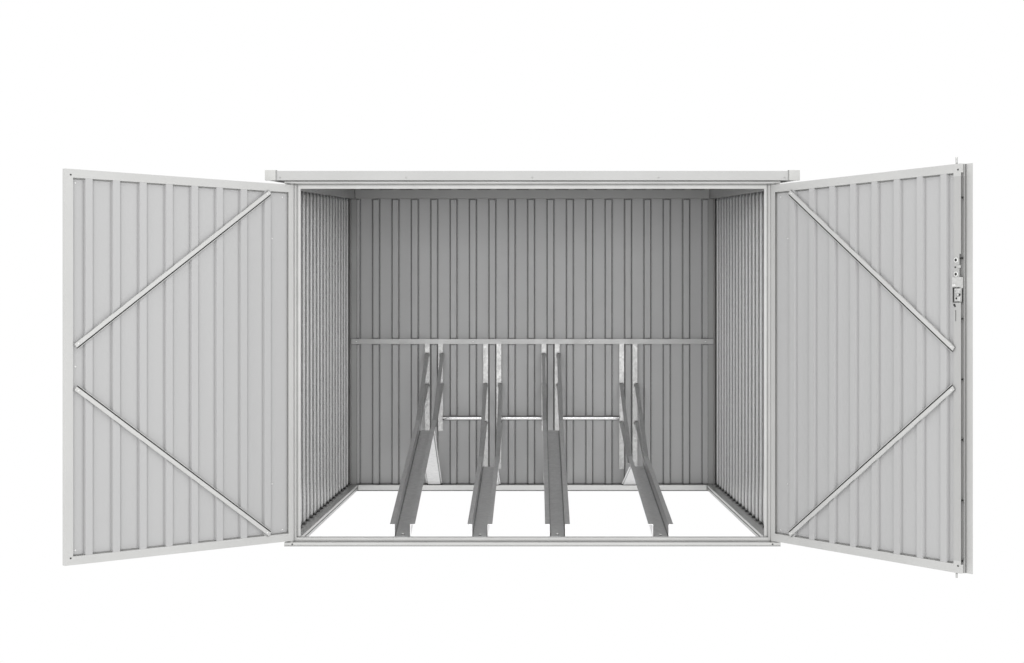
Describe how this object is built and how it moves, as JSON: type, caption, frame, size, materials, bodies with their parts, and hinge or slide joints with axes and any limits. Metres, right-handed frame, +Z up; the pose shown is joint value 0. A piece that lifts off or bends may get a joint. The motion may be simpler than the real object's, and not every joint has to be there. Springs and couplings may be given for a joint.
{
  "type": "bike shelter",
  "caption": "Sheet-steel bike shelter with a low roof rising to the back, two outward-opening doors, an open base frame and sloping wheel ramps inside.",
  "frame": {"origin": "underside of the front base rail, at mid width, in the plane of the door stop", "axes": "+X to the right seen from the front, +Y into the shelter, +Z up"},
  "size_m": [3.5194, 3.2224, 1.8012],
  "materials": {
    "frame": "satin light grey powder coat",
    "sheet": "satin light grey coil coat",
    "bare_steel": "galvanised",
    "lock": "satin grey"
  },
  "bodies": {
    "shell": {"base_front": "frame", "base_back": "frame", "base_sides": "frame", "posts_front": "frame", "head_rail": "frame", "top_rail_sides": "frame", "top_rail_back": "frame", "posts_back": "frame", "wall_left": "sheet", "wall_right": "sheet", "wall_back": "sheet", "roof_sheet": "sheet", "fascia_front": "frame", "fascia_back": "frame", "fascia_sides": "frame", "corner_caps": "frame", "wall_rail": "frame", "holder_uprights": "bare_steel", "tie_tubes": "bare_steel", "ramp_1": "bare_steel", "ramp_2": "bare_steel", "ramp_3": "bare_steel", "ramp_4": "bare_steel", "guide_1": "bare_steel", "guide_2": "bare_steel", "guide_3": "bare_steel", "guide_4": "bare_steel", "ramp_legs": "bare_steel"},
    "door_left": {"door_left_frame": "frame", "door_left_sheet": "sheet", "door_left_braces": "frame", "door_left_pins": "bare_steel"},
    "door_right": {"door_right_frame": "frame", "door_right_sheet": "sheet", "door_right_braces": "frame", "door_right_pins": "bare_steel", "cover_strip": "frame", "lock_case": "lock", "lock_stile": "sheet"},
    "handle": {"door_handle": "lock"},
    "rod_top": {"lock_rod_top": "bare_steel"},
    "rod_bottom": {"lock_rod_bottom": "bare_steel"}
  },
  "joints": [
    {"name": "door_left_hinge", "type": "hinge", "parent": "shell", "child": "door_left", "pos_m": [-1.057, -0.018, 0.8], "axis": [0, 0, 1], "range_deg": [-36.5, 138.5]},
    {"name": "door_right_hinge", "type": "hinge", "parent": "shell", "child": "door_right", "pos_m": [1.057, -0.018, 0.8], "axis": [0, 0, 1], "range_deg": [-123.4, 51.6]},
    {"name": "handle_turn", "type": "hinge", "parent": "door_right", "child": "handle", "pos_m": [1.6295, -0.88624, 1.085], "axis": [0.8348, 0.5505, 0], "range_deg": [0, 90]},
    {"name": "rod_top_slide", "type": "slide", "parent": "door_right", "child": "rod_top", "axis": [0, 0, 1], "range_m": [-0.028, 0]},
    {"name": "rod_bottom_slide", "type": "slide", "parent": "door_right", "child": "rod_bottom", "axis": [0, 0, 1], "range_m": [0, 0.022]}
  ],
  "couplings": [
    {"joint": "rod_top_slide", "follows": "handle_turn", "m_per_rad": -0.0178},
    {"joint": "rod_bottom_slide", "follows": "handle_turn", "m_per_rad": 0.014}
  ]
}
